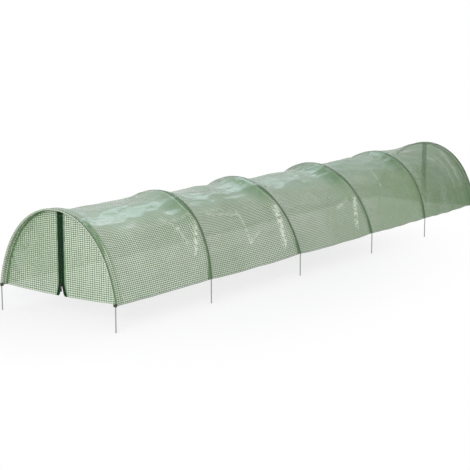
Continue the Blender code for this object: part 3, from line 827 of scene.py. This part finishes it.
def crease_height(tree, place):
    """Facets with sharp edges, long ones along the tunnel and smaller ones among them."""
    heights = []
    for stretch, turn, scale, share in CREASE_LAYERS:
        laid = tree.nodes.new("ShaderNodeMapping")
        laid.inputs["Scale"].default_value = stretch
        laid.inputs["Rotation"].default_value = (0, turn, turn)
        tree.links.new(place, laid.inputs["Vector"])
        facets = tree.nodes.new("ShaderNodeTexVoronoi")
        facets.inputs["Scale"].default_value = scale
        facets.inputs["Detail"].default_value = 0
        tree.links.new(laid.outputs["Vector"], facets.inputs["Vector"])
        near = facets.outputs["Distance"]
        heights.append(times(tree, times(tree, near, near), share))
    return functools.reduce(functools.partial(plus, tree), heights)


def cover_bands(tree, film, length, width, place, colour, opacity):
    """The wires' dark lines, partly the wire seen through the film and partly painted shadow of the wire, the
    green end seams and the cut hem of the cover.
    """
    from_front = minus(tree, length, FEET_X[0] - WIRE_LINE_AHEAD)
    from_wire = maths(tree, "PINGPONG", from_front, HOOP_SPACING / 2)
    uneven = times(tree, blotches(tree, place, 55, 3), UNEVENNESS)
    wire = ramp(tree, plus(tree, from_wire, uneven), *WIRE_LINE, 1.0, 0.0)
    # Painted shadow of the wire, over the wire seen through the film
    colour = blend_colours(tree, times(tree, wire, WIRE_LINE_AND_SHADOW_TINT), colour, film.wire_line_and_shadow_colour)
    rear = ramp(tree, length, *REAR_SEAM)
    from_middle = size_of(tree, minus(tree, length, (FEET_X[0] + FEET_X[-1]) / 2))
    seam_place = (FEET_X[-1] - FEET_X[0]) / 2 - END_HEM + SEAM_FROM_HEM_END
    seam_place = minus(tree, seam_place, times(tree, rear, REAR_SEAM_INWARD))
    from_seam = plus(tree, size_of(tree, minus(tree, from_middle, seam_place)), uneven)
    wider = times(tree, rear, REAR_SEAM_WIDER)
    seam = ramp(tree, from_seam, *[plus(tree, wider, reach) for reach in SEAM_LINE], 1.0, 0.0)
    around = size_of(tree, width)
    from_hem = minus(tree, HALF_ARC, around)
    rises, falls, share = SEAM_AT_SHOULDER
    shoulder = times(tree, ramp(tree, from_hem, *rises), ramp(tree, from_hem, *falls, 1.0, 0.0))
    shoulder = plus(tree, times(tree, shoulder, share), SEAM_ELSEWHERE)
    colour = blend_colours(tree, times(tree, seam, larger(tree, shoulder, rear)), colour, film.seam_colour)
    edge = ramp(tree, around, HALF_ARC - CUT_EDGE[0], HALF_ARC - CUT_EDGE[1])
    colour = blend_colours(tree, times(tree, edge, CUT_EDGE_TINT), colour, film.edge_colour)
    return colour, larger(tree, opacity, times(tree, wire, WIRE_LINE_OPACITY))


def steel_look():
    """Galvanised wire: grey with a pale spangle, duller in patches."""
    made, tree, shader = new_look("galvanised_wire")
    colour = bpy.context.scene.tunnel_wire.colour
    place = object_place(tree)
    spangle = tree.nodes.new("ShaderNodeTexVoronoi")
    tree.links.new(place, spangle.inputs["Vector"])
    spangle.inputs["Scale"].default_value = 420
    speckle = ramp(tree, spangle.outputs["Distance"], 0.1, 0.7)
    tint = blend_colours(tree, speckle, scaled(colour, 1.25), scaled(colour, 0.8))
    tree.links.new(tint, shader.inputs["Base Color"])
    shader.inputs["Metallic"].default_value = 0.75
    tree.links.new(ramp(tree, blotches(tree, place, 60), 0.3, 0.7, 0.36, 0.55), shader.inputs["Roughness"])
    raise_surface(tree, shader, blotches(tree, place, 700), 0.05 * MM, 0.5)
    return made


def tape_look(name, colour):
    """Woven tape: ribs along it, crossed by fine picks."""
    made, tree, shader = new_look(name)
    _, y, z = axes_of(tree, object_place(tree))
    ribs = maths(tree, "PINGPONG", y, TAPE_RIB)
    picks = maths(tree, "PINGPONG", z, TAPE_PICK)
    weave = larger(tree, ramp(tree, ribs, 0, TAPE_RIB), ramp(tree, picks, 0, TAPE_PICK))
    pale = scaled(colour, 1.7, 0.002)
    tree.links.new(blend_colours(tree, weave, colour, pale), shader.inputs["Base Color"])
    shader.inputs["Roughness"].default_value = 0.9
    shader.inputs["Specular IOR Level"].default_value = 0.08
    raise_surface(tree, shader, weave, 0.2 * MM, 0.8)
    return made


def moulded_look(name, colour, roughness, metallic=0.0, gloss=0.5):
    """Moulded or enamelled small parts, a little worn and uneven."""
    made, tree, shader = new_look(name)
    shader.inputs["Specular IOR Level"].default_value = gloss
    place = object_place(tree)
    rub = blotches(tree, place, 160, 4)
    worn = blend_colours(tree, ramp(tree, rub, 0.52, 0.75), colour, scaled(colour, 2.2, 0.004))
    tree.links.new(worn, shader.inputs["Base Color"])
    tree.links.new(ramp(tree, rub, 0.3, 0.7, roughness * 0.8, roughness * 1.3), shader.inputs["Roughness"])
    shader.inputs["Metallic"].default_value = metallic
    raise_surface(tree, shader, blotches(tree, place, 900), 0.04 * MM, 0.4)
    return made


def thread_look():
    """Sewing thread: dark plies with paler ones among them."""
    made, tree, shader = new_look("sewing_thread")
    colour = bpy.context.scene.tunnel_sewing.thread_colour
    twist = blotches(tree, object_place(tree), 1200)
    plies = blend_colours(tree, ramp(tree, twist, 0.4, 0.6), colour, scaled(colour, 1.9))
    tree.links.new(plies, shader.inputs["Base Color"])
    shader.inputs["Roughness"].default_value = 0.6
    raise_surface(tree, shader, twist, 0.05 * MM, 0.6)
    return made


# Wires

def ring_place(line, step):
    """Where a ring of the wire goes: its Z along the line, its X as near the tunnel's as it can be."""
    along = (line[min(step + 1, len(line) - 1)] - line[max(step - 1, 0)]).normalized()
    side = Vector((1, 0, 0))
    side = (side - along * side.dot(along)).normalized()
    turned = Matrix((side, along.cross(side), along)).transposed()
    return Matrix.Translation(line[step]) @ turned.to_4x4()


def draw_wire(shape, line, radius, sides):
    """A round wire along a line: one ring extruded from spot to spot, then closed at both ends."""
    place = ring_place(line, 0)
    ring = bmesh.ops.create_circle(shape, segments=sides, radius=radius, matrix=place)["verts"]
    edges = list({edge for vert in ring for edge in vert.link_edges})
    for step in range(1, len(line)):
        made = bmesh.ops.extrude_edge_only(shape, edges=edges)["geom"]
        verts = [part for part in made if isinstance(part, bmesh.types.BMVert)]
        edges = [part for part in made if isinstance(part, bmesh.types.BMEdge) and part.is_boundary]
        nxt = ring_place(line, step)
        bmesh.ops.transform(shape, matrix=nxt @ place.inverted(), verts=verts)
        place = nxt
    bmesh.ops.holes_fill(shape, edges=[edge for edge in shape.edges if edge.is_boundary])
    bmesh.ops.recalc_face_normals(shape, faces=shape.faces)


class TUNNEL_OT_wires(bpy.types.Operator):
    """Draws the six wire hoops with their legs"""
    bl_idname = "tunnel.wires"
    bl_label = "Wire hoops"

    def execute(self, context):
        wire = context.scene.tunnel_wire
        look = steel_look()
        for hoop in range(HOOP_COUNT):
            line = []
            for share in spread_steps(-1, 1, 2 / wire.steps):
                flat = arch_place(share, FILM_TO_WIRE)
                line.append(Vector((hoop_x(hoop, flat.y), flat.x, HEM_Z + flat.y)))
            heights = (0, HEM_Z * LEG_TOP_SHARE)
            leg, other = [[Vector((end.x, end.y, z)) for z in heights] for end in (line[0], line[-1])]
            shape = bmesh.new()
            draw_wire(shape, leg + line + other[::-1], WIRE_RADIUS, wire.sides)
            piece = shown(f"wire_{hoop + 1}", shape)
            piece.data.set_sharp_from_angle(angle=WIRE_SHARP_ANGLE)
            dress(piece, look)
            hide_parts(f"hoop_{hoop + 1}")
            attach(piece, "tunnel")
        return {"FINISHED"}


# Film pieces

def hump(value, middle, reach):
    """1 in the middle, falling to 0 at its reach on both sides."""
    return max(0, 1 - ((value - middle) / reach) ** 2)


def sewn_and_shade_share(column, row):
    """How much a place on the cover shows the pocket strip under it, and the painted shade in the bays before the
    middle wires at the shoulder.
    """
    hoop, offset, share = column
    height = (1 - abs(row)) * HALF_ARC
    shoulder = hump(height, SHOULDER, SHOULDER_REACH)
    # Painted shade in the bay before a middle wire, at the shoulder
    if share is not None:
        near = max(0, share - SHADE_START) / (1 - SHADE_START)
        return SHADE * near * shoulder if hoop < HOOP_COUNT - 2 else 0
    if hoop == HOOP_COUNT - 1:
        return 0
    if hoop == 0:
        width = END_SHOULDER_BAND * hump(height, END_SHOULDER, END_SHOULDER_REACH)
        if not END_SHOULDER_START < offset < width:
            return 0
        patchy = 0.75 + wave(END_SHOULDER_PATCHES, offset, height, 4)
        return patchy * (1 if row < 0 else END_SHOULDER_LEFT)
    foot = FOOT_BAND * max(0, 1 - height / FOOT_BAND_TOP)
    return 1 if -max(foot, SHOULDER_BAND * shoulder) < offset < 0 else 0


def highlight_share(column, row):
    """How much painted highlight lies over the single folds and the drapes before the last hoop."""
    hoop, _, share = column
    arc = row * HALF_ARC
    folds = min(1, fold_rise(foot_x(column), arc) / TIGHT_FOLD) ** 2
    drapes = 0 if share is None else -drape(hoop, share, nominal_x(column), arc)
    return max(folds, min(MOST_DRAPE_HIGHLIGHT, DRAPE_HIGHLIGHT * drapes))


class TUNNEL_OT_cover(bpy.types.Operator):
    """Lays the long film cover over the hoops"""
    bl_idname = "tunnel.cover"
    bl_label = "Film cover"

    def execute(self, context):
        film = context.scene.tunnel_film
        look, hem = film_look("cover_film", cover=True), film_look("hem_film")
        doubled = film_look("doubled_film", doubled=POCKET_STRIP_TINT)
        columns, rows = cover_columns(film.step), spread_steps(-1, 1, film.step / HALF_ARC)
        cover = lay_sheet(
            "film_cover", columns, rows,
            lambda column, row: cover_place(film, column, row),
            lambda column, row: (nominal_x(column), row * HALF_ARC),
            sewn_and_shade_share, highlight_share)
        give_gauge(cover, film.gauge)
        dress(cover, look)
        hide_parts("cover_sheet")
        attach(cover, "tunnel")
        strip_looks = [hem, *[doubled] * (HOOP_COUNT - 2), hem]
        pockets = [self.pocket(film, hoop, rows, strip_look) for hoop, strip_look in enumerate(strip_looks)]
        length = nominal_x(columns[-1]) - nominal_x(columns[0])
        return {"FINISHED"}

    def pocket(self, film, hoop, rows, look):
        """A strip sewn under the cover, which passes beneath the wire."""
        front, back = pocket_reach(hoop)
        below = FILM_TO_WIRE + WIRE_RADIUS + UNDER_WIRE_GAP

        def depth(offset):
            near = min(1, max(0, (POCKET_FOLD - abs(offset)) / (POCKET_FOLD - WIRE_RADIUS)))
            bulge = near * near * (3 - 2 * near)
            return (ridge(offset) + POCKET_GAP) * (1 - bulge) + below * bulge

        inner = spread_steps(-min(front, POCKET_FOLD), min(back, POCKET_FOLD), POCKET_FOLD_STEP)
        ahead = spread_steps(-front, -POCKET_FOLD, POCKET_STEP)[:-1] if front > POCKET_FOLD else []
        behind = spread_steps(POCKET_FOLD, back, POCKET_STEP)[1:] if back > POCKET_FOLD else []
        profile = [(offset, depth(offset)) for offset in ahead + inner + behind]
        if hoop == 0:
            profile.insert(0, (-front, POCKET_GAP / 3))
        if hoop == HOOP_COUNT - 1:
            profile.append((back, POCKET_GAP / 3))

        def place(column, row):
            offset, under = column
            flat, sunk = arch_place(row), arch_place(row, under)
            return Vector((hoop_x(hoop, flat.y) + offset, sunk.x, HEM_Z + sunk.y))

        def spread(column, row):
            along, around = POCKET_GRID_SHIFT
            return nominal_x((hoop, column[0], None)) + along, row * HALF_ARC + around

        strip = lay_sheet(f"film_pocket_{hoop + 1}", profile, rows, place, spread)
        give_gauge(strip, film.gauge)
        dress(strip, look)
        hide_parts(f"pocket_{hoop + 1}")
        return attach(strip, "tunnel")


# Doors

def zip_spread(z):
    """How far one side of the zip lies from the centre line, z above the hem."""
    below = max(V_HEIGHT - z, 0) / V_HEIGHT
    return V_HALF_WIDTH * min(below, 1) ** V_CURVE_POWER


def fold_line():
    """The flap's fold line in a door's own plane: a point at the foot, and its direction up."""
    joint = JOINTS["front_left_fold"]
    foot = Vector((joint["pos_m"][1], 0))
    along = Vector((joint["axis"][1], joint["axis"][2]))
    return foot, along * math.copysign(1, along.y)


def fold_y(z):
    foot, along = fold_line()
    return foot.x + along.x / along.y * z


def arch_side_y(z):
    """How far the door's curved edge lies from the centre line at a height."""
    low, high = 0.0, 1.0
    for _ in range(HALVINGS):
        middle = (low + high) / 2
        if arch_place(middle, DOOR_EDGE_DEPTH).y > z:
            low = middle
        else:
            high = middle
    return arch_place((low + high) / 2, DOOR_EDGE_DEPTH).x


def door_rows(step):
    """Heights up the door, closer together where the arch closes in."""
    shares = spread_steps(0, 1, step / HALF_ARC)
    heights = [arch_place(share, DOOR_EDGE_DEPTH).y for share in shares]
    heights = sorted({round(z, 6) for z in heights if z >= 0} | {0.0, ZIP_TOP})
    return [z for z in heights if arch_side_y(z) > FILM_TO_ZIP_CENTRE + DOOR_NARROWEST]


def zip_side_y(z):
    if z <= ZIP_TOP:
        return FILM_TO_ZIP_CENTRE + zip_spread(z)
    return max(FILM_TO_ZIP_CENTRE, fold_y(z))


class TUNNEL_OT_doors(bpy.types.Operator):
    """Sews in both doors: two film halves each, with a bound edge"""
    bl_idname = "tunnel.doors"
    bl_label = "Door film"

    def execute(self, context):
        film = context.scene.tunnel_film
        look = film_look("door_film")
        bound = moulded_look("binding_film", film.seam_colour, 0.35)
        rows = door_rows(DOOR_STEP)
        shares = spread_steps(0, 1, 1 / DOOR_COLUMNS)
        for name, end, side in CORNERS:
            binding = self.binding(film, bound, name, end, side)
            self.half(film, look, rows, shares, name, end, side, binding)
        return {"FINISHED"}

    def binding(self, film, look, name, end, side):
        """A strip that binds a door half's curved edge."""
        depths = [DOOR_EDGE_DEPTH + BINDING_WIDTH * share for share in (0, 0.5, 1)]

        def place(depth, row):
            flat = arch_place(row, depth)
            return Vector((end * (DOOR_PLANE + BINDING_OUT), side * flat.x, HEM_Z + flat.y))

        strip = lay_sheet(
            f"{name}_binding", depths, spread_steps(0, 1, film.step / HALF_ARC), place,
            lambda depth, row: (depth, row * HALF_ARC))
        give_gauge(strip, BINDING_GAUGE)
        dress(strip, look)
        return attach(strip, "tunnel")

    def half(self, film, look, rows, shares, name, end, side, binding):
        """A door half from the zip to the arch: one sheet, whose edge above the zip follows the fold line."""
        def across(share, z):
            near, far = zip_side_y(z), arch_side_y(z)
            return near + (far - near) * share

        def place(share, z):
            y = across(share, z)
            bow = DOOR_HEM_BOW * max(1 - (y / HALF_WIDTH) ** 2, 0) * max(0, 1 - z / DOOR_BOW_HEIGHT) ** 2
            from_tape = min(1, max(0, (y - TAPE_HALF - zip_spread(z)) / FLAT_BY_TAPE))
            from_seam = min(1, max(0, (arch_side_y(z) - y) / FLAT_BY_SEAM))
            waves = sum(wave(kind, y, z, 3.3 * end + 1.7 * side) for kind in DOOR_WAVES)
            x = end * (DOOR_PLANE - DOOR_WAVE * waves * from_tape * from_seam)
            return Vector((x, side * y, HEM_Z + z - bow))

        def spread(share, z):
            return side * across(share, z), z

        def hemmed(share, z):
            return 1 if across(share, z) < TAPE_HALF - V_HALF_WIDTH + zip_spread(z) + ZIP_HEM else 0

        panel = lay_sheet(f"{name}_door", shares, rows, place, spread, hemmed)
        give_gauge(panel, film.gauge)
        dress(panel, look)
        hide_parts(f"{name}_side", f"{name}_flap")
        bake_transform(panel)


class TUNNEL_OT_stitches(bpy.types.Operator):
    """Sews the pockets, both end hems and the zip tapes with thread"""
    bl_idname = "tunnel.stitches"
    bl_label = "Stitches"

    def execute(self, context):
        film, sewing = context.scene.tunnel_film, context.scene.tunnel_sewing
        look = thread_look()
        pitch = sewing.stitch + sewing.gap
        shares = spread_steps(-1, 1, pitch / HALF_ARC)[1:-1]
        for hoop in range(HOOP_COUNT):
            for line, offset in enumerate(self.offsets(hoop)):
                column = (hoop, offset, None)
                spots = [cover_place(film, column, share, -film.gauge / 2) for share in shares]
                self.sew(f"stitches_{hoop + 1}_{line + 1}", spots, sewing, look, "tunnel")
        edge = TAPE_HALF - V_HALF_WIDTH - TAPE_STITCH_INSET
        heights = spread_steps(TAPE_STITCH_MARGIN, ZIP_TOP - TAPE_STITCH_MARGIN, pitch)
        for name, end, side in CORNERS:
            x = end * (TAPE_FACE + sewing.thread / 4)
            spots = [Vector((x, side * (edge + zip_spread(z)), HEM_Z + z)) for z in heights]
            self.sew(f"{name}_tape_stitches", spots, sewing, look, f"{name}_half")
        return {"FINISHED"}

    def offsets(self, hoop):
        """Where the seams of a hoop's pocket run, from its wire."""
        if hoop == 0:
            return [END_HEM - END_SEAM_INSET]
        if hoop == HOOP_COUNT - 1:
            return [END_SEAM_INSET - END_HEM]
        return [FRONT_SEAM_INSET - POCKET_FRONT, -FOLD_SEAM_GAP - POCKET_FOLD, POCKET_BACK - BACK_SEAM_INSET]

    def sew(self, name, spots, sewing, look, body):
        """One stitch from each spot to the next, each a small few-faced grain of thread."""
        shape = bmesh.new()
        for start, stop in zip(spots, spots[1:]):
            along = stop - start
            share = sewing.stitch / (sewing.stitch + sewing.gap)
            turned = along.to_track_quat("X", "Z").to_matrix().to_4x4()
            size = Matrix.Diagonal((along.length * share / 2, sewing.thread / 2, sewing.thread / 2, 1))
            bmesh.ops.create_icosphere(
                shape, subdivisions=1, radius=1,
                matrix=Matrix.Translation((start + stop) / 2) @ turned @ size)
        seam = shown(name, shape)
        dress(seam, look)
        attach(seam, body)


class TUNNEL_OT_tabs(bpy.types.Operator):
    """Puts a short fabric sleeve round the wire at each end foot"""
    bl_idname = "tunnel.tabs"
    bl_label = "Corner tabs"

    def execute(self, context):
        look = tape_look("tab_fabric", context.scene.tunnel_sewing.tab_colour)
        level = HEM_Z + TAB_HEIGHT * TAB_RISE_SHARE
        for name, end, side in CORNERS:
            shape = bmesh.new()
            middle = Vector((end * abs(FEET_X[0]), side * (HALF_WIDTH - TAB_INWARD), level))
            bmesh.ops.create_cone(
                shape, cap_ends=True, segments=TAB_SIDES, radius1=1, radius2=1, depth=TAB_HEIGHT,
                matrix=Matrix.Translation(middle) @ Matrix.Diagonal((*TAB_HALF_SIZE, 1, 1)))
            rims = [
                edge for edge in shape.edges
                if abs(edge.verts[0].co.z - edge.verts[1].co.z) < TAB_HEIGHT / 2]
            bmesh.ops.bevel(
                shape, geom=rims, offset=TAB_ROUNDING, segments=3, profile=0.5, material=-1, affect="EDGES")
            tab = shown(f"{name}_tab", shape)
            dress(tab, look)
            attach(tab, "tunnel")
        return {"FINISHED"}


class TUNNEL_OT_zips(bpy.types.Operator):
    """Gives both zips their woven tape, moulded teeth and enamelled sliders"""
    bl_idname = "tunnel.zips"
    bl_label = "Zips"

    def execute(self, context):
        zips = context.scene.tunnel_zip
        tape = tape_look("woven_tape", zips.tape_colour)
        teeth = moulded_look("moulded_teeth", zips.teeth_colour, 0.5, gloss=0.15)
        metal = moulded_look("enamelled_metal", zips.metal_colour, 0.3, 0.6)
        pieces = {
            "left_tape": tape, "right_tape": tape, "zip_end": tape, "left_teeth": teeth,
            "right_teeth": teeth, "slider": metal, "pull": metal}
        for end_name, _ in ENDS:
            for piece, look in pieces.items():
                for slot in frame["nodes"][f"{end_name}_{piece}"].material_slots:
                    slot.material = look
        return {"FINISHED"}


# Stage

class TUNNEL_OT_stage(bpy.types.Operator):
    """Sets the floor, the soft lamps, the room's light and the camera"""
    bl_idname = "tunnel.stage"
    bl_label = "Stage"

    def execute(self, context):
        stage = context.scene.tunnel_stage
        self.floor(stage)
        for name, power, place, size, colour, mirrored in LAMPS:
            self.softbox(name, getattr(stage, power), place, size, colour).visible_glossy = mirrored
        self.room(context, stage)
        self.camera(context, stage)
        context.scene.view_settings.view_transform = "Standard"
        context.scene.cycles.transparent_max_bounces = FILM_FACES_SEEN_THROUGH
        return {"FINISHED"}

    def floor(self, stage):
        """A pale disc that keeps the shadow near the tunnel and fades to plain white further off."""
        shape = bmesh.new()
        bmesh.ops.create_circle(shape, cap_ends=True, segments=64, radius=FLOOR_RADIUS)
        floor = shown("floor", shape)
        made, tree, shader = new_look("pale_floor")
        shader.inputs["Base Color"].default_value = (*stage.floor_colour, 1)
        shader.inputs["Roughness"].default_value = 0.8
        flat = tree.nodes.new("ShaderNodeMapping")
        flat.inputs["Scale"].default_value = FLOOR_SQUEEZE
        flat.inputs["Location"].default_value = FLOOR_SHIFT
        tree.links.new(object_place(tree), flat.inputs["Vector"])
        away = tree.nodes.new("ShaderNodeVectorMath")
        away.operation = "LENGTH"
        tree.links.new(flat.outputs["Vector"], away.inputs[0])
        far = ramp(tree, away.outputs["Value"], *FLOOR_FADE)
        mix = tree.nodes.new("ShaderNodeMixShader")
        tree.links.new(times(tree, seen_directly(tree), far), mix.inputs["Fac"])
        tree.links.new(shader.outputs[0], mix.inputs[1])
        tree.links.new(tree.nodes.new("ShaderNodeEmission").outputs[0], mix.inputs[2])
        tree.links.new(mix.outputs[0], tree.nodes["Material Output"].inputs["Surface"])
        floor.data.materials.append(made)

    def softbox(self, name, power, place, size, colour):
        lamp = bpy.data.lights.new(name, "AREA")
        lamp.shape = "RECTANGLE"
        lamp.size, lamp.size_y = size
        lamp.energy = power
        lamp.color = colour
        thing = bpy.data.objects.new(name, lamp)
        bpy.context.scene.collection.objects.link(thing)
        thing.location = place
        thing.rotation_mode = "QUATERNION"
        thing.rotation_quaternion = (LAMP_AIM - Vector(place)).to_track_quat("-Z", "Y")
        return thing

    def room(self, context, stage):
        """Even light from all round, and a white wall for whatever sees or mirrors it."""
        world = context.scene.world or bpy.data.worlds.new("room")
        context.scene.world = world
        world.use_nodes = True
        tree = world.node_tree
        light = tree.nodes["Background"]
        light.inputs["Color"].default_value = (1, 1, 1, 1)
        tree.links.new(ramp(tree, seen_directly(tree), 0.0, 1.0, stage.fill, 1.0), light.inputs["Strength"])

    def camera(self, context, stage):
        eye = bpy.data.cameras.new("camera")
        eye.sensor_width = 36
        eye.lens = stage.lens
        thing = bpy.data.objects.new("camera", eye)
        context.scene.collection.objects.link(thing)
        thing.location = stage.camera_place
        thing.rotation_euler = stage.camera_turn
        context.scene.camera = thing


# Panel and registration

STEPS = (
    TUNNEL_OT_wires, TUNNEL_OT_cover, TUNNEL_OT_doors, TUNNEL_OT_stitches, TUNNEL_OT_tabs,
    TUNNEL_OT_zips, TUNNEL_OT_stage)


class TUNNEL_PT_panel(bpy.types.Panel):
    bl_label = "Row cover tunnel"
    bl_idname = "TUNNEL_PT_panel"
    bl_space_type = "VIEW_3D"
    bl_region_type = "UI"
    bl_category = "Tunnel"

    def draw(self, context):
        for step in STEPS:
            self.layout.operator(step.bl_idname)
        for name, group in SETTINGS.items():
            box = self.layout.box()
            for setting in group.__annotations__:
                box.prop(getattr(context.scene, name), setting)


def register():
    for group in SETTINGS.values():
        bpy.utils.register_class(group)
    for step in STEPS:
        bpy.utils.register_class(step)
    bpy.utils.register_class(TUNNEL_PT_panel)
    for name, group in SETTINGS.items():
        setattr(bpy.types.Scene, name, PointerProperty(type=group))


def unregister():
    for name in SETTINGS:
        delattr(bpy.types.Scene, name)
    bpy.utils.unregister_class(TUNNEL_PT_panel)
    for step in reversed(STEPS):
        bpy.utils.unregister_class(step)
    for group in reversed(SETTINGS.values()):
        bpy.utils.unregister_class(group)


def main():
    register()
    bpy.ops.tunnel.wires()
    bpy.ops.tunnel.cover()
    bpy.ops.tunnel.doors()
    bpy.ops.tunnel.stitches()
    bpy.ops.tunnel.tabs()
    bpy.ops.tunnel.zips()
    bpy.ops.tunnel.stage()


if __name__ == "__main__":
    main()
